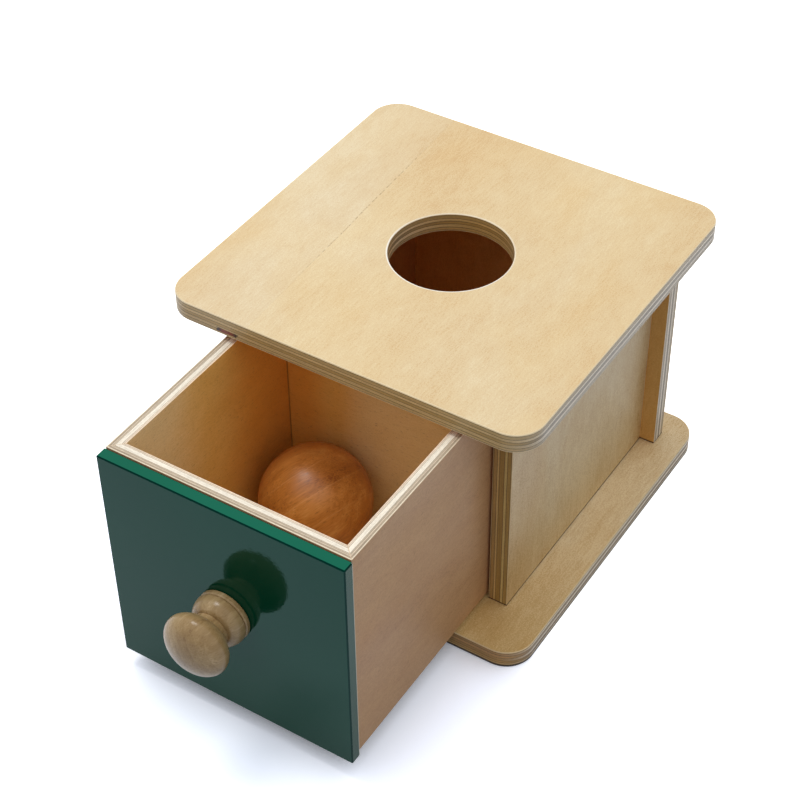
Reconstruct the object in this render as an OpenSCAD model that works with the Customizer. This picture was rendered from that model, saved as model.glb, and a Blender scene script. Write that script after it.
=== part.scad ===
// Object permanence box: a plywood case with a ball hole in its top board,
// a drawer with a painted face and a turned knob, and a loose wooden ball.
// Sizes are in millimetres. +Z is up, the drawer opens towards -Y, and the
// origin is the centre of the base board's underside.

/* [Boards] */
// Width of the top and base boards
board_w = 200; // [190:1:240]
// Depth of the top and base boards, front to back
board_d = 200; // [190:1:240]
// Thickness of the case plywood
ply_t = 10.5; // [9:0.5:12]
// Radius of the boards' four corners
corner_r = 15; // [6:1:24]
// Radius of the round-over on the boards' upper and lower edges
edge_r = 0.6; // [0.4:0.1:3]

/* [Case] */
// Height of the whole case
case_h = 154.2; // [140:0.1:180]
// From the boards' side edge to a side panel's outer face
side_overhang = 22.7; // [18:0.1:30]
// From the boards' front edge to the side panels' front edge
front_overhang = 28.5; // [20:0.5:40]
// From the back panel's rear face to the boards' rear edge
rear_overhang = 16.2; // [10:0.1:24]
// How far the back panel stands out past each side panel
back_lip = 8.4; // [2:0.1:12]

/* [Ball] */
// Diameter of the ball
ball_d = 58; // [48:1:64]
// Gap all round between the ball and the hole it drops through
hole_gap = 2; // [1:0.5:6]
// Running gap under the ball
ball_gap = 0.3; // [0.2:0.1:1]
// From the ball to the drawer's back wall
ball_back_gap = 0.5; // [0.3:0.1:20]
// From the ball to the drawer's left wall
ball_left_gap = 6.1; // [0.5:0.1:30]

/* [Drawer] */
// Thickness of the drawer's four walls
wall_t = 6.5; // [5:0.5:9]
// Thickness of the drawer's bottom panel
bottom_t = 6.5; // [4:0.5:9]
// Gap between a drawer wall and the side panel beside it
side_gap = 1.2; // [0.6:0.1:3]
// Gap between the drawer's rim and the top board
rim_gap = 3.3; // [1:0.1:8]
// Gap between the bottom panel and the base board that it glides on
glide_gap = 0.3; // [0.2:0.1:1]
// Height of the walls' lower edge above the bottom panel's underside
wall_lift = 2.5; // [1:0.1:4]
// Gap behind the closed drawer
rear_gap = 0.5; // [0.3:0.1:3]
// Length of drawer left inside the case as it stands pulled open
engaged = 18.5; // [5:0.5:60]

/* [Drawer face] */
// Thickness of the painted face
face_t = 6.5; // [5:0.5:10]
// Width of the bevel that eases the face's edges
face_bevel = 0.6; // [0.2:0.1:1.5]
// Gap between the face and each side panel when the drawer is closed
face_gap = 0.4; // [0.3:0.1:2]
// Height of the face's lower edge above the bottom panel's underside
face_lift = 0.1; // [0:0.1:1]
// How far the rim stands above the face
rim_reveal = 0.7; // [0.2:0.1:3]
// How far the closed face sits behind the side panels' front edges
face_recess = 3.7; // [0:0.1:8]

/* [Knob] */
// Length of the knob, from the face to the top of its dome
knob_len = 32; // [24:0.5:40]
// Radius of the domed cap
cap_r = 16.8; // [14:0.1:22]
// Height of the domed cap, from its underside to the top of its dome
cap_h = 19.4; // [14:0.1:22]
// Radius of the neck under the cap
neck_r = 9.2; // [7:0.1:12]
// Radius of the foot that seats on the face
foot_r = 13.8; // [11:0.1:18]
// Height of the foot, up to the turned groove
foot_h = 3.2; // [2:0.1:5]
// Width of the turned groove
groove_w = 0.8; // [0.4:0.1:1.5]
// Depth of the turned groove
groove_depth = 0.9; // [0.4:0.1:1.5]
// Height of the rounded shoulder between the groove and the neck
shoulder_h = 7.4; // [5:0.1:9]
// Radius on the foot's edges
foot_edge_r = 1.1; // [0.4:0.1:1.4]

/* [Knob screw] */
// Diameter of the screw's shank
screw_d = 4; // [3:0.5:5]
// Length of shank inside the knob
screw_grip = 15; // [10:0.5:20]
// Diameter of the screw's head
head_d = 8; // [6:0.5:10]
// Height of the screw's head
head_h = 2.6; // [1.5:0.1:3.5]
// Length of the cross recess in the head
recess_len = 4.6; // [3:0.1:6]
// Width of the cross recess in the head
recess_w = 1; // [0.6:0.1:1.4]
// Depth of the cross recess in the head
recess_depth = 1.5; // [0.8:0.1:2]
// Gap all round between the screw and its hole
screw_gap = 0.1; // [0.05:0.05:0.3]
// How much deeper the hole in the knob is than the screw's point
screw_end_gap = 1; // [0.5:0.5:3]

/* [Dowels] */
// Diameter of the hidden dowels
dowel_d = 6; // [5:0.5:7]
// Length of dowel let into a board's or the back panel's face
dowel_face_depth = 7.5; // [5:0.5:8]
// Length of dowel let into a panel's edge
dowel_edge_depth = 14; // [10:0.5:20]
// Gap all round between a dowel and its hole
dowel_gap = 0.1; // [0.05:0.05:0.2]
// How much deeper each dowel hole is than its dowel
dowel_end_gap = 0.5; // [0.2:0.1:1]
// Bevel on a dowel's ends
dowel_bevel = 0.8; // [0.4:0.1:1.5]
// From a panel's end to the middle of its nearest dowel
dowel_inset = 30; // [20:1:45]

/* [Hidden] */
$fn = 96;
// How far a cut runs past the face that it opens
cut_over = 1;

// The case
panel_h = case_h - 2 * ply_t;
top_z = case_h - ply_t;
panel_x = board_w / 2 - side_overhang;
panel_front_y = -board_d / 2 + front_overhang;
back_rear_y = board_d / 2 - rear_overhang;
back_front_y = back_rear_y - ply_t;
panel_d = back_front_y - panel_front_y;
back_w = 2 * (panel_x + back_lip);
bay_w = 2 * (panel_x - ply_t);
hole_d = ball_d + 2 * hole_gap;

// The drawer as it stands pulled open
drawer_w = bay_w - 2 * side_gap;
drawer_d = panel_d - rear_gap - face_recess - face_t;
drawer_back_y = panel_front_y + engaged;
drawer_front_y = drawer_back_y - drawer_d;
drawer_mid_y = (drawer_back_y + drawer_front_y) / 2;
bottom_z = ply_t + glide_gap;
floor_z = bottom_z + bottom_t;
wall_z = bottom_z + wall_lift;
rim_z = top_z - rim_gap;
wall_h = rim_z - wall_z;
inner_w = drawer_w - 2 * wall_t;
inner_d = drawer_d - 2 * wall_t;
face_w = bay_w - 2 * face_gap;
face_z = bottom_z + face_lift;
face_h = rim_z - rim_reveal - face_z;
face_front_y = drawer_front_y - face_t;
knob_z = face_z + face_h / 2;
screw_head_y = drawer_front_y + wall_t;

// The ball, standing on the drawer's floor near its back left corner
ball_r = ball_d / 2;
ball_x = -inner_w / 2 + ball_left_gap + ball_r;
ball_y = drawer_back_y - wall_t - ball_back_gap - ball_r;
ball_z = floor_z + ball_gap + ball_r;

// Dowel places: x, y pairs under the boards, and x, z pairs on the back panel
dowel_x = panel_x - ply_t / 2;
edge_dowels = [
    for (x = [-dowel_x, dowel_x])
        for (y = [panel_front_y + dowel_inset, back_front_y - dowel_inset])
            [x, y]
];
back_edge_dowels = [
    for (side = [-1, 1])
        [side * (back_w / 2 - dowel_inset), back_rear_y - ply_t / 2]
];
board_dowels = concat(edge_dowels, back_edge_dowels);
rear_dowels = [
    for (x = [-dowel_x, dowel_x])
        for (z = [ply_t + panel_h / 2 - dowel_inset, ply_t + panel_h / 2 + dowel_inset])
            [x, z]
];

PLYWOOD = "#e4cb98";
DRAWER_PLY = "#c79a63";
GREEN_PAINT = "#1f4f49";
TURNED_WOOD = "#c9a87c";
BALL_WOOD = "#a5602a";
STEEL = "#b8babd";

// Points on an ellipse about a centre, from one angle to another
function oval(centre, rx, ry, from, to, steps) = [
    for (i = [0 : steps])
        let (a = from + (to - from) * i / steps)
            centre + [rx * cos(a), ry * sin(a)]
];

// A square with round corners
module rounded_square(w, d, r) {
    square([w - 2 * r, d], center = true);
    square([w, d - 2 * r], center = true);
    for (x = [-1, 1], y = [-1, 1])
        translate([x * (w / 2 - r), y * (d / 2 - r)])
            circle(r);
}

// A square with its corners cut off
module bevelled_square(w, d, cut) {
    polygon([
        [-w / 2 + cut, -d / 2], [w / 2 - cut, -d / 2], [w / 2, -d / 2 + cut], [w / 2, d / 2 - cut],
        [w / 2 - cut, d / 2], [-w / 2 + cut, d / 2], [-w / 2, d / 2 - cut], [-w / 2, -d / 2 + cut]
    ]);
}

// A block about its centre with a bevel on every edge
module bevelled_block(w, d, h, cut) {
    intersection() {
        linear_extrude(h, center = true)
            bevelled_square(w, d, cut);
        rotate([90, 0, 0])
            linear_extrude(d, center = true)
                bevelled_square(w, h, cut);
        rotate([90, 0, 90])
            linear_extrude(w, center = true)
                bevelled_square(d, h, cut);
    }
}

// A run of board with rounded edges: straight along x, with its lower face on z = 0
module board_run(length, width) {
    translate([0, 0, ply_t / 2])
        rotate([90, 0, 90])
            linear_extrude(length, center = true)
                rounded_square(width, ply_t, edge_r);
}

// A round corner of a board, with the same rounded edges
module board_corner() {
    rotate_extrude()
        intersection() {
            translate([0, ply_t / 2])
                rounded_square(2 * corner_r, ply_t, edge_r);
            square([corner_r, ply_t]);
        }
}

module case_board() {
    board_run(board_w - 2 * corner_r, board_d);
    rotate(90)
        board_run(board_d - 2 * corner_r, board_w);
    for (x = [-1, 1], y = [-1, 1])
        translate([x * (board_w / 2 - corner_r), y * (board_d / 2 - corner_r)])
            board_corner();
}

// A dowel along +Z with its joint line at z = 0, the face side below it
module dowel() {
    r = dowel_d / 2;
    shaft = dowel_face_depth + dowel_edge_depth - 2 * dowel_bevel;
    translate([0, 0, -dowel_face_depth]) {
        cylinder(h = dowel_bevel, r1 = r - dowel_bevel, r2 = r);
        translate([0, 0, dowel_bevel])
            cylinder(h = shaft, r = r);
        translate([0, 0, dowel_bevel + shaft])
            cylinder(h = dowel_bevel, r1 = r, r2 = r - dowel_bevel);
    }
}

// The drilled hole for that dowel, in both pieces at once
module dowel_hole() {
    translate([0, 0, -dowel_face_depth - dowel_end_gap])
        cylinder(
            h = dowel_face_depth + dowel_edge_depth + 2 * dowel_end_gap,
            d = dowel_d + 2 * dowel_gap
        );
}

// Dowels stand up out of the base board
module on_base() {
    for (p = board_dowels)
        translate([p.x, p.y, ply_t])
            children();
}

// Dowels hang down out of the top board
module under_top() {
    for (p = board_dowels)
        translate([p.x, p.y, top_z])
            mirror([0, 0, 1])
                children();
}

// Dowels point forward out of the back panel
module on_back() {
    for (p = rear_dowels)
        translate([p.x, back_front_y, p.y])
            rotate([90, 0, 0])
                children();
}

module every_dowel_hole() {
    on_base()
        dowel_hole();
    under_top()
        dowel_hole();
    on_back()
        dowel_hole();
}

module base_board() {
    color(PLYWOOD)
        difference() {
            case_board();
            on_base()
                dowel_hole();
        }
}

module top_board() {
    color(PLYWOOD)
        difference() {
            translate([0, 0, top_z])
                case_board();
            translate([0, 0, top_z - cut_over])
                cylinder(h = ply_t + 2 * cut_over, d = hole_d);
            under_top()
                dowel_hole();
        }
}

module right_side_panel() {
    color(PLYWOOD)
        difference() {
            translate([panel_x - ply_t, panel_front_y, ply_t])
                cube([ply_t, panel_d, panel_h]);
            every_dowel_hole();
        }
}

module left_side_panel() {
    mirror([1, 0, 0])
        right_side_panel();
}

module back_panel() {
    color(PLYWOOD)
        difference() {
            translate([-back_w / 2, back_front_y, ply_t])
                cube([back_w, ply_t, panel_h]);
            every_dowel_hole();
        }
}

module base_dowels() {
    color(TURNED_WOOD)
        on_base()
            dowel();
}

module top_dowels() {
    color(TURNED_WOOD)
        under_top()
            dowel();
}

module back_dowels() {
    color(TURNED_WOOD)
        on_back()
            dowel();
}

// A drawer wall with mitred ends: outer face on y = 0, inner face on y = wall_t
module mitred_wall(length) {
    linear_extrude(wall_h)
        polygon([
            [-length / 2, 0],
            [length / 2, 0],
            [length / 2 - wall_t, wall_t],
            [-length / 2 + wall_t, wall_t]
        ]);
}

// The screw's hole, from inside the drawer through wall and face into the knob
module screw_hole() {
    depth = wall_t + face_t + screw_grip + screw_end_gap;
    translate([0, screw_head_y + cut_over, knob_z])
        rotate([90, 0, 0])
            cylinder(h = cut_over + depth, d = screw_d + 2 * screw_gap);
}

module drawer_front_wall() {
    color(DRAWER_PLY)
        difference() {
            translate([0, drawer_front_y, wall_z])
                mitred_wall(drawer_w);
            screw_hole();
        }
}

module drawer_back_wall() {
    color(DRAWER_PLY)
        translate([0, drawer_back_y, wall_z])
            rotate(180)
                mitred_wall(drawer_w);
}

module drawer_left_wall() {
    color(DRAWER_PLY)
        translate([-drawer_w / 2, drawer_mid_y, wall_z])
            rotate(-90)
                mitred_wall(drawer_d);
}

module drawer_right_wall() {
    color(DRAWER_PLY)
        translate([drawer_w / 2, drawer_mid_y, wall_z])
            rotate(90)
                mitred_wall(drawer_d);
}

module drawer_bottom() {
    color(DRAWER_PLY)
        translate([-inner_w / 2, drawer_front_y + wall_t, bottom_z])
            cube([inner_w, inner_d, bottom_t]);
}

module drawer_face() {
    color(GREEN_PAINT)
        difference() {
            translate([0, face_front_y + face_t / 2, knob_z])
                bevelled_block(face_w, face_t, face_h, face_bevel);
            screw_hole();
        }
}

// The turned profile: radius across, distance from the face up
function knob_profile() =
    let (
        edge = foot_edge_r,
        groove_r = foot_r - groove_depth,
        shoulder_z = foot_h + groove_w,
        cap_z = knob_len - cap_h / 2,
        neck_angle = acos(neck_r / cap_r)
    )
    concat(
        [[0, 0]],
        oval([foot_r - edge, edge], edge, edge, -90, 0, 6),
        oval([foot_r - edge, foot_h - edge], edge, edge, 0, 90, 6),
        [[groove_r, foot_h], [groove_r, shoulder_z]],
        oval([neck_r, shoulder_z], foot_r - neck_r, shoulder_h, 0, 90, 16),
        oval([0, cap_z], cap_r, cap_h / 2, -neck_angle, 90, 40)
    );

module knob() {
    color(TURNED_WOOD)
        difference() {
            translate([0, face_front_y, knob_z])
                rotate([90, 0, 0])
                    rotate_extrude()
                        polygon(knob_profile());
            screw_hole();
        }
}

// The screw's outline: domed head up to its seat, then the shank and its point
function screw_profile() =
    let (
        shank = wall_t + face_t + screw_grip,
        r = screw_d / 2
    )
    concat(
        oval([0, 0], head_d / 2, head_h, -90, 0, 12),
        [[r, 0], [r, shank - r], [0, shank]]
    );

module knob_screw() {
    color(STEEL)
        translate([0, screw_head_y, knob_z])
            rotate([90, 0, 0])
                difference() {
                    rotate_extrude()
                        polygon(screw_profile());
                    for (turn = [0, 90])
                        rotate(turn)
                            translate([-recess_len / 2, -recess_w / 2, -head_h - cut_over])
                                cube([recess_len, recess_w, recess_depth + cut_over]);
                }
}

module ball() {
    color(BALL_WOOD)
        translate([ball_x, ball_y, ball_z])
            sphere(d = ball_d);
}

base_board();
top_board();
left_side_panel();
right_side_panel();
back_panel();
base_dowels();
top_dowels();
back_dowels();
drawer_front_wall();
drawer_back_wall();
drawer_left_wall();
drawer_right_wall();
drawer_bottom();
drawer_face();
knob();
knob_screw();
ball();
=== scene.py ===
import math
from dataclasses import dataclass, replace

import bpy
from mathutils import Matrix, Vector


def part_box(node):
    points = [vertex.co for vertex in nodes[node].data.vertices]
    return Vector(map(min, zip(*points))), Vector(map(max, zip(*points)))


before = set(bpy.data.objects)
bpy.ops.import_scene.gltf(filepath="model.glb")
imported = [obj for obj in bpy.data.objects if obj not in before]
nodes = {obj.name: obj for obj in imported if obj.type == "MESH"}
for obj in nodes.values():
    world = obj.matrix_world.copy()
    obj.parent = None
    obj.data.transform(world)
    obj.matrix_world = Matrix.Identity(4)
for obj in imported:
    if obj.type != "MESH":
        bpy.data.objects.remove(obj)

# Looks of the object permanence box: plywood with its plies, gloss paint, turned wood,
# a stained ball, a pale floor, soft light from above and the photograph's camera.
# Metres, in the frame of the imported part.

MM = 0.001
X, Y, Z = 0, 1, 2
WHITE = (1.0, 1.0, 1.0, 1.0)
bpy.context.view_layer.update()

# Camera, as solved from the photograph's straight edges
CAMERA_AZIMUTH = 32.92
CAMERA_ELEVATION = 41.70
CAMERA_ROLL = -0.7
CAMERA_DISTANCE = 1076.88 * MM
CAMERA_AIM = Vector((-56.81, 40.46, 0)) * MM
CAMERA_LENS = 85.5
SENSOR_WIDTH = 36.0

# Light: an overcast sky, brightest overhead and darker in front, and a softbox above on the left
KEY_PLACE = Vector((-0.40, -0.15, 1.35))
KEY_SIZE = 0.36
KEY_WATTS = 4.8
SKY_BASE = 0.16
SKY_TILT = (0.05, 0.10, 0.90)

# Floor: the shade that lights the object, the shade that is seen, and a lift that makes it white.
# In front of the box the lift is bluish, and less where the drawer stands close over the floor.
FLOOR_HALF = 6.0
FLOOR_LEVEL = -0.05 * MM
FLOOR_BOUNCE = (0.25, 0.25, 0.245, 1.0)
FLOOR_SEEN = (0.97, 0.97, 0.97, 1.0)
FLOOR_LIFT = 0.9
FRONT_LIFT = 0.88
FRONT_LIFT_COLOUR = (0.70, 0.79, 1.0, 1.0)
FRONT_FROM, FRONT_FULL = -60 * MM, -110 * MM
FRONT_NEAR = 54 * MM    # how far away the object still shades the lift
FRONT_SHADE = 1.5       # how fast that shade deepens close to the object
MIRRORED_LIFT = 0.6     # share of the lift that reflections show


# Colours and nodes

def rgb(red, green, blue):
    """A colour as the eye sees it, 0 to 255, as the linear colour that shaders take."""
    def linear(level):
        share = level / 255
        if share <= 0.04045:
            return share / 12.92
        return ((share + 0.055) / 1.055) ** 2.4
    return (linear(red), linear(green), linear(blue), 1.0)


def even_stops(tones, first, step):
    """Stops of a ramp through tones, set at even steps."""
    return [(first + step * count, tone) for count, tone in enumerate(tones)]


class Graph:
    """A node tree, made and linked by short calls. Most calls return an output socket."""

    def __init__(self, tree):
        self.tree = tree
        tree.nodes.clear()

    def add(self, kind, inputs=None, output=0, **settings):
        node = self.tree.nodes.new("ShaderNode" + kind)
        for name, value in settings.items():
            setattr(node, name, value)
        for socket, value in (inputs or {}).items():
            self.fill(node.inputs[socket], value)
        return node.outputs[output]

    def fill(self, socket, value):
        if isinstance(value, bpy.types.NodeSocket):
            self.tree.links.new(value, socket)
        else:
            socket.default_value = value

    def math(self, operation, *values):
        return self.add("Math", dict(enumerate(values)), operation=operation)

    def product(self, first, *others):
        """The product of two or more values."""
        total = first
        for value in others:
            total = self.math("MULTIPLY", total, value)
        return total

    def blend(self, parts):
        """The weighted sum of values, given as pairs of value and weight."""
        total = 0.0
        for value, weight in parts:
            total = self.math("MULTIPLY_ADD", value, weight, total)
        return total

    def span(self, value, low, high, to_low=0.0, to_high=1.0):
        """Runs smoothly from to_low to to_high as the value goes from low to high."""
        return self.add("MapRange", {
            "Value": value, "From Min": low, "From Max": high, "To Min": to_low, "To Max": to_high,
        }, interpolation_type="SMOOTHSTEP")

    def mix(self, factor, first, second, blend="MIX"):
        inputs = {0: factor, 6: first, 7: second}
        return self.add("Mix", inputs, output=2, data_type="RGBA", blend_type=blend)

    def tinted(self, colour, tint):
        return self.mix(1.0, colour, tint, "MULTIPLY")

    def pick(self, factor, first, second):
        """A number between two others."""
        return self.add("Mix", {0: factor, 2: first, 3: second})

    def ramp(self, factor, stops, interpolation="EASE"):
        output = self.add("ValToRGB", {0: factor})
        ramp = output.node.color_ramp
        ramp.interpolation = interpolation
        while len(ramp.elements) < len(stops):
            ramp.elements.new(1.0)
        for element, (position, colour) in zip(ramp.elements, stops):
            element.position = position
            element.color = colour
        return output

    def coords(self, kind):
        return self.add("TexCoord").node.outputs[kind]

    def split(self, vector):
        node = self.add("SeparateXYZ", {0: vector}).node
        return [node.outputs[axis] for axis in (X, Y, Z)]

    def join(self, x, y, z):
        return self.add("CombineXYZ", {0: x, 1: y, 2: z})

    def stretch(self, vector, scales):
        return self.add("VectorMath", {0: vector, 1: scales}, operation="MULTIPLY")

    def shift(self, vector, offset):
        return self.add("VectorMath", {0: vector, 1: offset}, operation="ADD")

    def dot(self, vector, other):
        return self.add("VectorMath", {0: vector, 1: other}, output=1, operation="DOT_PRODUCT")

    def length(self, vector):
        return self.add("VectorMath", {0: vector}, output=1, operation="LENGTH")

    def noise(self, vector, scales, detail, distortion=0.0):
        """Noise with one feature about every 1/scale metres along each axis."""
        return self.add("TexNoise", {
            "Vector": self.stretch(vector, scales), "Scale": 1.0, "Detail": detail,
            "Distortion": distortion,
        })

    def bump(self, height, distance, strength):
        return self.add("Bump", {"Height": height, "Distance": distance, "Strength": strength})

    def surface(self, **inputs):
        """Shows a principled shader. Its sockets are named with low lines for spaces."""
        self.show(self.add("BsdfPrincipled", {
            name.replace("_", " "): value for name, value in inputs.items()
        }))

    def show(self, shader, output="OutputMaterial"):
        node = self.tree.nodes.new("ShaderNode" + output)
        self.fill(node.inputs["Surface"], shader)


def new_material(name):
    material = bpy.data.materials.new(name)
    material.use_nodes = True
    return material, Graph(material.node_tree)


def dress(material, name):
    """Gives a CAD node a material."""
    for slot in nodes[name].material_slots:
        slot.material = material


# Plywood

@dataclass
class Ply:
    """The looks of one kind of plywood. Tones run from dark to light, plies from the inner face out."""

    outer: list         # face veneer that shows outside
    inner: list         # face veneer that shows inside
    plies: list         # thickness of each ply, as shares
    along: list         # colours of the plies on an edge along the face grain
    across: list        # colours of the plies on an edge across the face grain
    arris: tuple        # pale line where a face meets an edge, partly a painted highlight
    glue: tuple
    pore: tuple
    pore_share: float   # how strongly the pores show
    roughness: float


CASE_PLY = Ply(
    outer=[rgb(217, 184, 134), rgb(225, 198, 151), rgb(229, 205, 160), rgb(235, 215, 174)],
    # the orange-brown of the inner veneer is partly painted shade, for the case's dark inside
    inner=[rgb(214, 143, 77), rgb(222, 153, 87), rgb(228, 161, 95), rgb(234, 169, 105)],
    plies=[0.9, 1.6, 1.9, 1.7, 1.6, 1.9, 0.9],
    # the grey in these edge tones is partly a painted sheen
    along=[
        rgb(228, 219, 203), rgb(184, 174, 157), rgb(232, 223, 210), rgb(150, 141, 128),
        rgb(238, 228, 212), rgb(180, 165, 140), rgb(242, 228, 200),
    ],
    across=[
        rgb(250, 228, 182), rgb(208, 180, 130), rgb(216, 189, 138), rgb(196, 166, 112),
        rgb(226, 199, 147), rgb(208, 181, 130), rgb(246, 226, 180),
    ],
    arris=rgb(241, 221, 182),
    glue=rgb(120, 92, 62),
    pore=rgb(176, 138, 92),
    pore_share=0.16,
    roughness=0.42,
)
SIDE_PLY = replace(
    CASE_PLY,
    outer=[rgb(190, 158, 109), rgb(209, 182, 138), rgb(217, 195, 154), rgb(231, 212, 175)],
    plies=[0.6, 1.9, 1.2, 2.7, 1.6, 1.9, 0.6],
    along=[
        rgb(198, 172, 124), rgb(180, 144, 89), rgb(213, 180, 119), rgb(172, 138, 78),
        rgb(211, 186, 123), rgb(180, 148, 87), rgb(207, 182, 126),
    ],
    arris=rgb(222, 197, 150),
)
BASE_PLY = replace(
    CASE_PLY,
    outer=[rgb(200, 163, 108), rgb(222, 194, 146), rgb(231, 207, 163), rgb(245, 227, 190)],
    along=[
        rgb(204, 180, 142), rgb(234, 220, 194), rgb(150, 131, 105), rgb(236, 223, 202),
        rgb(124, 105, 83), rgb(212, 194, 162), rgb(150, 122, 86),
    ],
    across=[
        rgb(240, 206, 150), rgb(190, 146, 92), rgb(206, 160, 103), rgb(190, 147, 87),
        rgb(198, 156, 94), rgb(220, 179, 115), rgb(236, 206, 148),
    ],
    arris=rgb(230, 206, 162),
)
BACK_PLY = replace(
    CASE_PLY,
    # its inner veneer is more orange still, partly painted shade
    inner=[rgb(230, 156, 77), rgb(239, 166, 87), rgb(246, 174, 95), rgb(253, 183, 105)],
)
DRAWER_EDGE = [
    rgb(251, 229, 203), rgb(234, 217, 194), rgb(245, 235, 217), rgb(198, 182, 159),
    rgb(214, 198, 175), rgb(177, 159, 135), rgb(232, 219, 195),
]
DRAWER_PLY = Ply(
    outer=[rgb(176, 134, 97), rgb(190, 148, 108), rgb(196, 155, 114), rgb(204, 164, 121)],
    inner=[rgb(226, 196, 142), rgb(234, 206, 154), rgb(239, 212, 162), rgb(244, 219, 174)],
    plies=[0.7, 0.7, 2.3, 0.7, 0.7, 0.7, 0.7],
    along=DRAWER_EDGE,
    across=DRAWER_EDGE,
    arris=rgb(238, 216, 186),
    glue=rgb(160, 138, 112),
    pore=rgb(130, 96, 70),
    pore_share=0.5,
    roughness=0.46,
)
WARM_TINT = (0.99, 0.95, 0.88, 1.0)
NO_TINT = WHITE
COOL_TINT = (1.0, 1.02, 1.07, 1.0)

# How far a surface faces along a board's thickness: from edge to arris, and from arris to face.
# Marks that keep to a board's faces begin at the third value.
EDGE_TO_ARRIS = (0.12, 0.4)
ARRIS_TO_FACE = (0.93, 0.99)
FACE = 0.9

PLY_SPECULAR = 0.4
PLY_RELIEF = 0.05 * MM
PLY_BUMP = 0.22
SEED_STEP = 0.37    # how far apart the boards lie in the noise, so that no two are alike


def veneer(g, place, look, shows_inner):
    """Colour, roughness and height of a face veneer. place runs along, across and into the grain."""
    cloud = g.noise(place, (6, 13, 13), detail=2)
    streak = g.noise(place, (10, 130, 130), detail=2)
    curl = g.noise(place, (45, 75, 75), detail=2, distortion=0.8)
    fibre = g.noise(place, (125, 850, 850), detail=3)
    grit = g.noise(place, (1300, 1700, 1700), detail=1)
    tone = g.blend([(cloud, 0.29), (streak, 0.06), (curl, 0.16), (fibre, 0.17), (grit, 0.32)])
    outer, inner = [
        g.ramp(tone, even_stops(tones, first=0.395, step=0.07)) for tones in (look.outer, look.inner)
    ]
    patch = g.noise(place, (10, 17, 17), detail=2, distortion=0.6)
    tint = g.ramp(patch, [(0.32, WARM_TINT), (0.5, NO_TINT), (0.68, COOL_TINT)])
    ticks = g.span(g.noise(place, (330, 2300, 2300), detail=1), 0.62, 0.78, 0.0, look.pore_share)
    colour = g.tinted(g.mix(shows_inner, outer, inner), tint)
    roughness = g.span(cloud, 0.3, 0.7, look.roughness - 0.05, look.roughness + 0.06)
    return g.mix(ticks, colour, look.pore), roughness, g.math("SUBTRACT", fibre, ticks)


def ply_stops(look, tones):
    """Stops of a ramp through the plies, with a thin line of glue before each ply but the first."""
    total = sum(look.plies)
    glue_share = 0.012
    stops = [(0.0, tones[0])]
    reach = look.plies[0] / total
    for thickness, tone in zip(look.plies[1:], tones[1:]):
        stops += [(reach - glue_share, look.glue), (reach + glue_share, tone)]
        reach += thickness / total
    return stops


def ply_edge(g, place, grain_facing, depth, look):
    """Colour of the plies on an edge. grain_facing is how far the edge faces along the face grain.

    depth runs from 0 on the inner face to 1 on the outer one.
    """
    wander_share = 0.05
    wander = g.math("SUBTRACT", g.noise(place, (14, 14, 50), detail=1), 0.5)
    layer = g.math("MULTIPLY_ADD", wander, wander_share, depth)
    along, across = [
        g.ramp(layer, ply_stops(look, tones), "CONSTANT") for tones in (look.along, look.across)
    ]
    colour = g.mix(g.math("ABSOLUTE", grain_facing), along, across)
    lines = g.noise(place, (60, 60, 2200), detail=2)
    specks = g.noise(place, (700, 700, 1800), detail=2)
    shade = g.span(g.blend([(lines, 0.6), (specks, 0.4)]), 0.3, 0.7, 0.8, 1.16)
    return g.tinted(colour, shade)


def plywood(name, look, grain, thick, inner_side=0, marks=()):
    """Plywood for one CAD board. grain and thick are the axes of its face grain and thickness.

    inner_side is the way its inner veneer faces along the thickness, +1 or -1, or 0 for none.
    marks are functions that change the colour, each called with graph, spot, facing and colour.
    """
    low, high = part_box(name)
    across = X + Y + Z - grain - thick
    material, g = new_material(name + "_ply")
    seed = SEED_STEP * (1 + sorted(nodes).index(name))
    spot = g.split(g.coords("Object"))
    facing = g.split(g.coords("Normal"))
    place = g.shift(g.join(spot[grain], spot[across], spot[thick]), (seed, 2 * seed, 0))
    ends = (low[thick], high[thick]) if inner_side < 0 else (high[thick], low[thick])
    depth = g.add("MapRange", {"Value": spot[thick], "From Min": ends[0], "From Max": ends[1]})
    shows_inner = g.math("GREATER_THAN", g.product(facing[thick], inner_side), 0.5)
    face_colour, roughness, height = veneer(g, place, look, shows_inner)
    edge_colour = ply_edge(g, place, facing[grain], depth, look)
    upright = g.math("ABSOLUTE", facing[thick])
    colour = g.mix(g.span(upright, *EDGE_TO_ARRIS), edge_colour, look.arris)
    colour = g.mix(g.span(upright, *ARRIS_TO_FACE), colour, face_colour)
    for mark in marks:
        colour = mark(g, spot, facing, colour)
    g.surface(
        Base_Color=colour,
        Roughness=roughness,
        Specular_IOR_Level=PLY_SPECULAR,
        Normal=g.bump(height, PLY_RELIEF, PLY_BUMP),
    )
    dress(material, name)


# Marks on single boards, among them painted light and shade

def ball_hole(g, spot, facing, colour):
    """The hole's wall is painted browner as shade, and its rim paler as a highlight, most in front."""
    radius = 31 * MM
    wall_reach = radius + 3 * MM
    rim_highlight_full, rim_highlight_gone = radius + 0.6 * MM, radius + 1 * MM
    fade_reach = 20 * MM
    hole_shade_tint = (0.95, 0.78, 0.55, 1.0)
    off_axis = g.length(g.join(spot[X], spot[Y], 0.0))
    near = g.math("LESS_THAN", off_axis, wall_reach)
    wall = g.span(g.math("ABSOLUTE", facing[Z]), 0.1, 0.4, 1.0, 0.0)
    # painted shade: the hole's wall is tinted browner and darker
    colour = g.tinted(colour, g.mix(g.product(near, wall), NO_TINT, hole_shade_tint))
    # painted highlight: a pale ring on the rim, strongest in front
    ring = g.span(off_axis, rim_highlight_full, rim_highlight_gone, 1.0, 0.0)
    fading = g.span(spot[Y], -fade_reach, fade_reach, 0.95, 0.3)
    upper = g.math("GREATER_THAN", facing[Z], 0.3)
    return g.mix(g.product(ring, fading, upper), colour, rgb(255, 250, 238))


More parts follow.
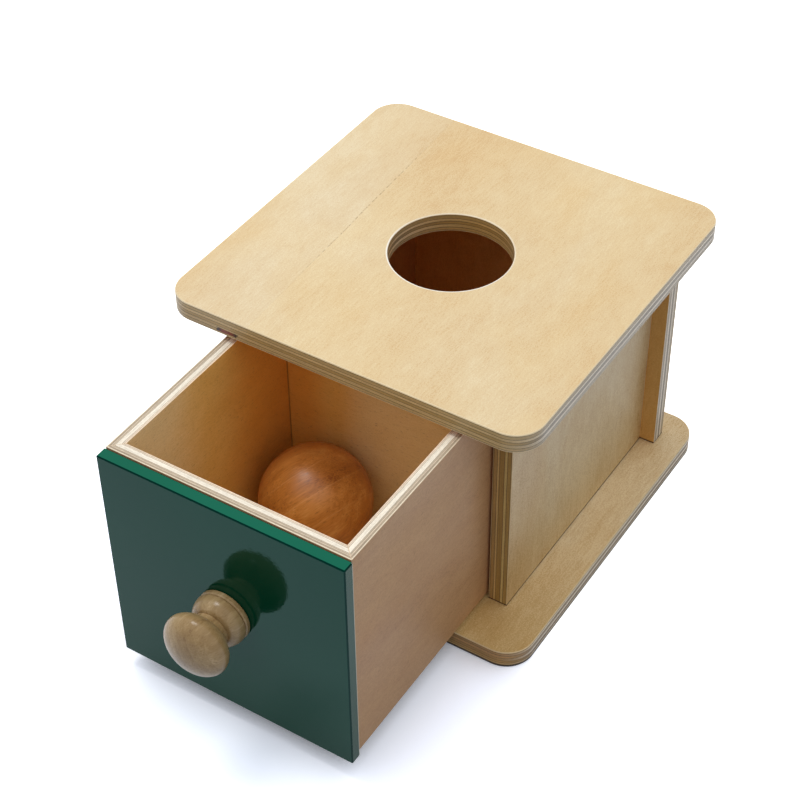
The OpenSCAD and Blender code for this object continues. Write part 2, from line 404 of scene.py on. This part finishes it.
def veneer_seam(g, spot, facing, colour):
    """The faint broken seam between two sheets of the top veneer, which differ a little in tone."""
    x, y, _ = spot
    seam_x, slant, drift_reach = -54.4 * MM, -0.041, 1 * MM
    middle, half_length = 10 * MM, 75 * MM
    line_full, line_gone = 0.05 * MM, 0.4 * MM
    sheet_blend = 0.3 * MM
    left_tint = (0.99, 1.0, 1.04, 1.0)
    row = g.join(0.0, y, 0.0)
    drift = g.math("SUBTRACT", g.noise(row, (1, 30, 1), detail=1), 0.5)
    straight = g.math("MULTIPLY_ADD", y, slant, seam_x)
    past_seam = g.math("SUBTRACT", x, g.math("MULTIPLY_ADD", drift, drift_reach, straight))
    colour = g.tinted(colour, g.mix(g.span(past_seam, -sheet_blend, sheet_blend), left_tint, NO_TINT))
    broken = g.span(g.noise(row, (1, 420, 1), detail=2), 0.42, 0.58)
    off_middle = g.math("ABSOLUTE", g.math("SUBTRACT", y, middle))
    fading = g.span(off_middle, 0.3 * half_length, half_length, 0.6, 0.1)
    line = g.span(g.math("ABSOLUTE", past_seam), line_full, line_gone, 1.0, 0.0)
    upper = g.math("GREATER_THAN", facing[Z], FACE)
    return g.mix(g.product(line, broken, fading, upper), colour, rgb(140, 106, 68))


def ply_void(g, spot, facing, colour):
    """A small void in a ply on the top board's front edge, not cut but painted: its dark inside is
    painted shade.
    """
    x, _, z = spot
    void_x = -62.4 * MM
    void_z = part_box("top_board")[0][Z] + 2.5 * MM
    half_length, half_height = 6.25 * MM, 1.15 * MM
    ragged_share = 0.9
    ragged = g.math("SUBTRACT", g.noise(g.join(x, 0.0, z), (400, 1, 900), detail=2), 0.5)
    along = g.math("ABSOLUTE", g.math("DIVIDE", g.math("SUBTRACT", x, void_x), half_length))
    up = g.math("ABSOLUTE", g.math("DIVIDE", g.math("SUBTRACT", z, void_z), half_height))
    reach = g.math("MULTIPLY_ADD", ragged, ragged_share, g.math("MAXIMUM", along, up))
    front = g.math("LESS_THAN", facing[Y], -0.6)
    void = g.product(g.span(reach, 0.86, 1.0, 0.97, 0.0), front)
    # painted shade inside the void, darkest towards its ends
    depth = g.ramp(along, [(0.35, rgb(128, 52, 24)), (0.85, rgb(34, 9, 6))])
    return g.mix(void, colour, depth)


def joint_shade_lines(g, spot, facing, colour):
    """Painted shade: dark lines where a panel of the case meets the boards."""
    line_full, line_gone = 0.6 * MM, 1.2 * MM
    to_foot = g.math("SUBTRACT", spot[Z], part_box("base_board")[1][Z])
    to_head = g.math("SUBTRACT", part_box("top_board")[0][Z], spot[Z])
    line = g.span(g.math("MINIMUM", to_foot, to_head), line_full, line_gone, 0.92, 0.0)
    return g.mix(line, colour, rgb(58, 30, 12))


def outer_strips(g, spot, facing, colour):
    """The back panel's inner veneer is yellower where it stands out past the side panels."""
    strip_tint = (0.72, 0.89, 1.0, 1.0)
    case_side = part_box("right_side_panel")[1][X]
    past_side = g.math("GREATER_THAN", g.math("ABSOLUTE", spot[X]), case_side)
    front = g.math("LESS_THAN", facing[Y], -FACE)
    return g.tinted(colour, g.mix(g.product(past_side, front), NO_TINT, strip_tint))


def foot_shade_line(g, spot, facing, colour):
    """A dark band at the foot of the base board's edge: painted contact shadow, partly a dark lowest ply.
    """
    line_full, line_gone = 1.5 * MM, 2.1 * MM
    line = g.span(spot[Z], line_full, line_gone, 0.95, 0.0)
    edge = g.math("GREATER_THAN", facing[Z], -0.98)
    return g.mix(g.product(line, edge), colour, rgb(44, 28, 15))


def tint_along(axis, thick, start, end, first, second):
    """A mark that tints a board's two faces from one tint to another along an axis."""
    def mark(g, spot, facing, colour):
        tint = g.mix(g.span(spot[axis], start, end), first, second)
        face = g.math("GREATER_THAN", g.math("ABSOLUTE", facing[thick]), FACE)
        return g.mix(face, colour, g.tinted(colour, tint))
    return mark


def faces_inwards(g, facing):
    """1 where the drawer's left or back wall faces its inside."""
    inwards = g.math("MAXIMUM", facing[X], g.product(facing[Y], -1.0))
    return g.math("GREATER_THAN", inwards, 0.5)


def corner_shade(g, spot, facing, colour):
    """Painted shade: the drawer's inner veneers turn a deep orange-brown towards its back left corner."""
    wide, deep = 55 * MM, 110 * MM
    deep_corner_shade = (1.0, 0.64, 0.24, 1.0)
    pale_corner_shade = (1.0, 0.80, 0.44, 1.0)
    from_left = g.math("SUBTRACT", spot[X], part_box("drawer_left_wall")[0][X])
    from_back = g.math("SUBTRACT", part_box("drawer_back_wall")[1][Y], spot[Y])
    away = g.length(g.join(g.math("DIVIDE", from_left, wide), g.math("DIVIDE", from_back, deep), 0.0))
    corner_shade_tint = g.ramp(away, [(0.3, deep_corner_shade), (0.62, pale_corner_shade), (1.0, NO_TINT)])
    return g.tinted(colour, g.mix(faces_inwards(g, facing), NO_TINT, corner_shade_tint))


def corner_crease_shade(g, spot, facing, colour):
    """Painted shade: a dark line down the drawer's back left inner corner, where two inner veneers meet.
    """
    line_full, line_gone = 0.2 * MM, 0.7 * MM
    from_left = g.math("SUBTRACT", spot[X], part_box("drawer_left_wall")[1][X])
    from_back = g.math("SUBTRACT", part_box("drawer_back_wall")[0][Y], spot[Y])
    line = g.span(g.math("MAXIMUM", from_left, from_back), line_full, line_gone, 0.5, 0.0)
    return g.mix(g.product(line, faces_inwards(g, facing)), colour, rgb(74, 36, 9))


# Painted light and shade along the boards: the base browner in front, the side panels darker at their
# feet and bluish-pale at their tops, the drawer's right wall darker low down, and its back wall lighter
# away from its corner
shaded_front = tint_along(
    axis=Y, thick=Z, start=-95 * MM, end=10 * MM,
    first=(0.80, 0.70, 0.50, 1.0), second=NO_TINT,
)
# painted shade at the side panels' feet and a painted bluish sheen at their tops
foot_shade_top_sheen = tint_along(
    axis=Z, thick=X, start=20 * MM, end=140 * MM,
    first=(0.90, 0.83, 0.69, 1.0), second=(1.05, 1.13, 1.30, 1.0),
)
# painted shade low down on the drawer's right wall
drawer_foot_shade = tint_along(
    axis=Z, thick=X, start=20 * MM, end=120 * MM,
    first=(0.94, 0.91, 0.86, 1.0), second=NO_TINT,
)
# painted light on the drawer's back wall, growing to the right
back_wall_light = tint_along(
    axis=X, thick=Y, start=-60 * MM, end=0.0,
    first=NO_TINT, second=(1.10, 1.08, 1.06, 1.0),
)

top_marks = [ball_hole, veneer_seam, ply_void]
side_marks = [foot_shade_top_sheen, joint_shade_lines]
back_wall_marks = [back_wall_light, corner_shade, corner_crease_shade]

# The case
plywood("base_board", BASE_PLY, grain=Y, thick=Z, marks=[foot_shade_line, shaded_front])
plywood("top_board", CASE_PLY, grain=Y, thick=Z, inner_side=-1, marks=top_marks)
plywood("left_side_panel", SIDE_PLY, grain=Z, thick=X, inner_side=1, marks=side_marks)
plywood("right_side_panel", SIDE_PLY, grain=Z, thick=X, inner_side=-1, marks=side_marks)
plywood("back_panel", BACK_PLY, grain=Z, thick=Y, inner_side=-1, marks=[outer_strips, joint_shade_lines])

# The drawer
plywood("drawer_front_wall", DRAWER_PLY, grain=X, thick=Y, inner_side=1)
plywood("drawer_back_wall", DRAWER_PLY, grain=X, thick=Y, inner_side=-1, marks=back_wall_marks)
plywood("drawer_left_wall", DRAWER_PLY, grain=Y, thick=X, inner_side=1, marks=[corner_shade, corner_crease_shade])
plywood("drawer_right_wall", DRAWER_PLY, grain=Y, thick=X, inner_side=-1, marks=[drawer_foot_shade])
plywood("drawer_bottom", DRAWER_PLY, grain=Y, thick=Z, inner_side=1)


# Paint, solid wood and steel

def gloss_paint():
    """Green gloss paint with a faint peel. Painted light makes its top edge lighter, and a painted dark
    reflection darkens its arrises.

    It stops just short of the face's back edge, where a thin line of bare wood shows.
    """
    bare_full, bare_gone = 0.8 * MM, 1 * MM
    peel_relief, peel_bump = 0.04 * MM, 0.5
    material, g = new_material("green_gloss_paint")
    place = g.coords("Object")
    cloud = g.noise(place, (9, 9, 9), detail=2)
    front = g.ramp(cloud, [(0.3, rgb(3, 62, 42)), (0.7, rgb(6, 70, 48))])
    # painted light: the upward and downward faces are a lighter green than the front
    lit_top_edge = g.ramp(cloud, [(0.3, rgb(20, 95, 71)), (0.7, rgb(25, 103, 79))])
    sides = [g.math("ABSOLUTE", part) for part in g.split(g.coords("Normal"))]
    colour = g.mix(g.span(sides[Z], 0.6, 0.9), front, lit_top_edge)
    squarest = g.math("MAXIMUM", g.math("MAXIMUM", sides[X], sides[Y]), sides[Z])
    # painted dark reflection: a dark green line on the arrises
    colour = g.mix(g.span(squarest, 0.8, 0.95, 0.9, 0.0), colour, rgb(2, 26, 18))
    to_back = g.math("SUBTRACT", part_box("drawer_face")[1][Y], g.split(place)[Y])
    bare = g.product(g.span(to_back, bare_full, bare_gone, 0.95, 0.0), g.span(sides[X], 0.6, 0.9))
    peel = g.noise(place, (700, 700, 700), detail=1)
    g.surface(
        Base_Color=g.mix(bare, colour, rgb(246, 244, 232)),
        Roughness=g.span(cloud, 0.3, 0.7, 0.04, 0.06),
        IOR=1.26,
        Specular_Tint=(0.0, 1.0, 0.9, 1.0),
        Normal=g.bump(peel, peel_relief, peel_bump),
    )
    dress(material, "drawer_face")


@dataclass
class Timber:
    """The looks of one kind of solid wood. Tones run from dark to light."""

    tones: list
    grain: Vector       # direction of the fibres
    pith: tuple         # how far the tree's centre lies from the piece, across the fibres
    ring: float         # distance between growth rings
    ring_share: float   # how strongly the rings show
    line: tuple         # pale line at the start of each ring
    line_share: float
    pore: tuple
    pore_share: float
    roughness: float
    specular: float
    coat: float
    coat_roughness: float


KNOB_WOOD = Timber(
    tones=[rgb(141, 111, 73), rgb(161, 132, 90), rgb(176, 148, 105), rgb(196, 169, 130)],
    grain=Vector((0.25, 1.0, 0.1)),
    pith=(34 * MM, 12 * MM),
    ring=3.1 * MM,
    ring_share=0.045,
    line=rgb(206, 184, 138),
    line_share=0.0,
    pore=rgb(112, 84, 52),
    pore_share=0.3,
    roughness=0.32,
    specular=0.05,
    coat=0.55,
    coat_roughness=0.19,
)
BALL_WOOD = Timber(
    tones=[rgb(152, 86, 30), rgb(191, 120, 49), rgb(212, 141, 66), rgb(232, 169, 95)],
    grain=Vector((0.55, 0.70, 0.45)),
    pith=(32 * MM, 166 * MM),
    ring=13 * MM,
    ring_share=0.02,
    line=rgb(236, 184, 118),
    line_share=0.24,
    pore=rgb(130, 70, 28),
    pore_share=0.6,
    roughness=0.38,
    specular=0.62,
    coat=0.0,
    coat_roughness=0.3,
)
DOWEL_WOOD = Timber(
    tones=[rgb(204, 168, 122), rgb(214, 180, 134), rgb(224, 192, 148), rgb(232, 204, 164)],
    grain=Vector((0, 0, 1)),
    pith=(25 * MM, 10 * MM),
    ring=2.2 * MM,
    ring_share=0.15,
    line=rgb(236, 212, 174),
    line_share=0.2,
    pore=rgb(180, 142, 98),
    pore_share=0.3,
    roughness=0.55,
    specular=0.3,
    coat=0.0,
    coat_roughness=0.3,
)
LYING_DOWEL_WOOD = replace(DOWEL_WOOD, grain=Vector((0, 1, 0)))


def solid_wood(name, node, look):
    """Solid wood with growth rings, fibres and pores that run right through the piece."""
    ring_wobble = 2 * MM
    relief, bump_strength = 0.04 * MM, 0.4
    material, g = new_material(name)
    low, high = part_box(node)
    spot = g.shift(g.coords("Object"), tuple(-(low + high) / 2))
    fibres = look.grain.normalized()
    beside = fibres.orthogonal().normalized()
    third = fibres.cross(beside)
    along, first, second = [g.dot(spot, tuple(axis)) for axis in (fibres, beside, third)]
    place = g.join(along, first, second)
    cloud = g.noise(place, (16, 60, 60), detail=2)
    streak = g.noise(place, (14, 320, 320), detail=2)
    fibre = g.noise(place, (110, 1500, 1500), detail=3)
    wobble = g.noise(place, (22, 45, 45), detail=2)
    from_pith = g.join(0.0, g.math("ADD", first, look.pith[0]), g.math("ADD", second, look.pith[1]))
    radius = g.math("MULTIPLY_ADD", wobble, ring_wobble, g.length(from_pith))
    in_ring = g.math("FRACT", g.math("DIVIDE", radius, look.ring))
    late = g.product(g.span(in_ring, 0.1, 0.95), g.span(in_ring, 0.95, 1.0, 1.0, 0.0))
    rest = 1.0 - look.ring_share
    parts = [(cloud, 0.45 * rest), (streak, 0.25 * rest), (fibre, 0.3 * rest), (late, -look.ring_share)]
    tone = g.math("ADD", g.blend(parts), 0.85 * look.ring_share)
    colour = g.ramp(tone, even_stops(look.tones, first=0.34, step=0.11))
    line = g.span(in_ring, 0.0, 0.06, look.line_share, 0.0)
    colour = g.mix(line, colour, look.line)
    ticks = g.span(g.noise(place, (220, 1700, 1700), detail=1), 0.62, 0.78, 0.0, look.pore_share)
    g.surface(
        Base_Color=g.mix(ticks, colour, look.pore),
        Roughness=g.span(fibre, 0.3, 0.7, look.roughness - 0.05, look.roughness + 0.05),
        Specular_IOR_Level=look.specular,
        Coat_Weight=look.coat,
        Coat_Roughness=look.coat_roughness,
        Normal=g.bump(g.math("SUBTRACT", fibre, ticks), relief, bump_strength),
    )
    dress(material, node)


def steel():
    """Zinc plated screw steel."""
    material, g = new_material("zinc_steel")
    grain = g.noise(g.coords("Object"), (900, 900, 900), detail=2)
    g.surface(
        Base_Color=g.ramp(grain, [(0.3, rgb(176, 180, 184)), (0.7, rgb(206, 208, 210))]),
        Metallic=1.0,
        Roughness=g.span(grain, 0.3, 0.7, 0.25, 0.4),
    )
    dress(material, "knob_screw")


gloss_paint()
solid_wood("lacquered_knob_wood", "knob", KNOB_WOOD)
solid_wood("stained_ball_wood", "ball", BALL_WOOD)
solid_wood("base_dowels_wood", "base_dowels", DOWEL_WOOD)
solid_wood("top_dowels_wood", "top_dowels", DOWEL_WOOD)
solid_wood("back_dowels_wood", "back_dowels", LYING_DOWEL_WOOD)
steel()


# Softened edges

PANEL_EASE = 0.3 * MM
WALL_EASE = 0.2 * MM
TOP_EASE = 0.5 * MM


def soften(name, width):
    """Eases a CAD piece's sharp edges. Its split triangles are joined to whole faces first."""
    weld_reach = 0.005 * MM
    flat_angle = math.radians(0.5)
    sharp_angle = math.radians(60)
    piece = nodes[name]
    joined = piece.modifiers.new("joined_faces", "WELD")
    joined.merge_threshold = weld_reach
    whole = piece.modifiers.new("whole_faces", "DECIMATE")
    whole.decimate_type = "DISSOLVE"
    whole.angle_limit = flat_angle
    bevel = piece.modifiers.new("softened_edges", "BEVEL")
    bevel.width = width
    bevel.use_clamp_overlap = False
    bevel.segments = 2
    bevel.limit_method = "ANGLE"
    bevel.angle_limit = sharp_angle
    normals = piece.modifiers.new("flat_faces", "WEIGHTED_NORMAL")
    normals.weight = 100


for panel in ("left_side_panel", "right_side_panel", "back_panel"):
    soften(panel, PANEL_EASE)
for wall in ("front_wall", "back_wall", "left_wall", "right_wall", "bottom"):
    soften("drawer_" + wall, WALL_EASE)
soften("top_board", TOP_EASE)


# Floor, light and camera

def seen_directly(g, mirrored=1.0):
    """1 for rays from the camera or glass, a share for mirrors, 0 for the light on the object."""
    path = g.add("LightPath").node
    kinds = ("Is Camera Ray", "Is Transmission Ray", "Is Glossy Ray")
    camera_ray, through_glass, glossy_ray = [path.outputs[kind] for kind in kinds]
    mirror = g.product(glossy_ray, mirrored)
    return g.math("MAXIMUM", g.math("MAXIMUM", camera_ray, through_glass), mirror)


def floor():
    """A floor that is seen paler than it lights the object."""
    size, level = FLOOR_HALF, FLOOR_LEVEL
    mesh = bpy.data.meshes.new("floor")
    corners = [(-size, -size, level), (size, -size, level), (size, size, level), (-size, size, level)]
    mesh.from_pydata(corners, [], [(0, 1, 2, 3)])
    floor_object = bpy.data.objects.new("floor", mesh)
    bpy.context.scene.collection.objects.link(floor_object)
    material, g = new_material("pale_floor")
    diffuse = g.add("BsdfDiffuse", {"Color": g.mix(seen_directly(g), FLOOR_BOUNCE, FLOOR_SEEN)})
    front = g.span(g.split(g.coords("Object"))[Y], FRONT_FULL, FRONT_FROM, 1.0, 0.0)
    open_share = g.add("AmbientOcclusion", {"Distance": FRONT_NEAR}, output=1)
    front_glow = g.product(g.math("POWER", open_share, FRONT_SHADE), FRONT_LIFT)
    glow = g.product(seen_directly(g, MIRRORED_LIFT), g.pick(front, FLOOR_LIFT, front_glow))
    tone = g.mix(front, WHITE, FRONT_LIFT_COLOUR)
    lift = g.add("Emission", {"Color": tone, "Strength": glow})
    g.show(g.add("AddShader", {0: diffuse, 1: lift}))
    mesh.materials.append(material)


def sky():
    """An overcast sky, plain white where it is seen."""
    world = bpy.data.worlds.new("soft_sky")
    bpy.context.scene.world = world
    world.use_nodes = True
    g = Graph(world.node_tree)
    leaning = g.dot(g.coords("Generated"), SKY_TILT)
    level = g.math("MAXIMUM", g.math("ADD", leaning, SKY_BASE), 0.0)
    strength = g.pick(seen_directly(g), level, 1.0)
    background = g.add("Background", {"Color": WHITE, "Strength": strength})
    g.show(background, "OutputWorld")


def key_light():
    """A softbox that faces the middle of the frame."""
    light = bpy.data.lights.new("overhead_softbox", "AREA")
    light.shape = "SQUARE"
    light.size = KEY_SIZE
    light.energy = KEY_WATTS
    lamp = bpy.data.objects.new("overhead_softbox", light)
    lamp.location = KEY_PLACE
    lamp.rotation_euler = (-KEY_PLACE).to_track_quat("-Z", "Y").to_euler()
    bpy.context.scene.collection.objects.link(lamp)


def camera():
    """The photograph's camera, placed by its angles and distance from the point it looks at."""
    azimuth = math.radians(CAMERA_AZIMUTH)
    elevation = math.radians(CAMERA_ELEVATION)
    roll = math.radians(CAMERA_ROLL)
    ahead = Vector((
        -math.sin(azimuth) * math.cos(elevation),
        math.cos(azimuth) * math.cos(elevation),
        -math.sin(elevation),
    ))
    right = ahead.cross(Vector((0, 0, 1))).normalized()
    up = right.cross(ahead)
    rolled_right = right * math.cos(roll) + up * math.sin(roll)
    rolled_up = up * math.cos(roll) - right * math.sin(roll)
    data = bpy.data.cameras.new("camera")
    data.lens = CAMERA_LENS
    data.sensor_width = SENSOR_WIDTH
    data.sensor_fit = "HORIZONTAL"
    rig = bpy.data.objects.new("camera", data)
    turn = Matrix((rolled_right, rolled_up, -ahead)).transposed().to_4x4()
    rig.matrix_world = Matrix.Translation(CAMERA_AIM - ahead * CAMERA_DISTANCE) @ turn
    bpy.context.scene.collection.objects.link(rig)
    bpy.context.scene.camera = rig


floor()
sky()
key_light()
camera()
bpy.context.scene.view_settings.view_transform = "Standard"
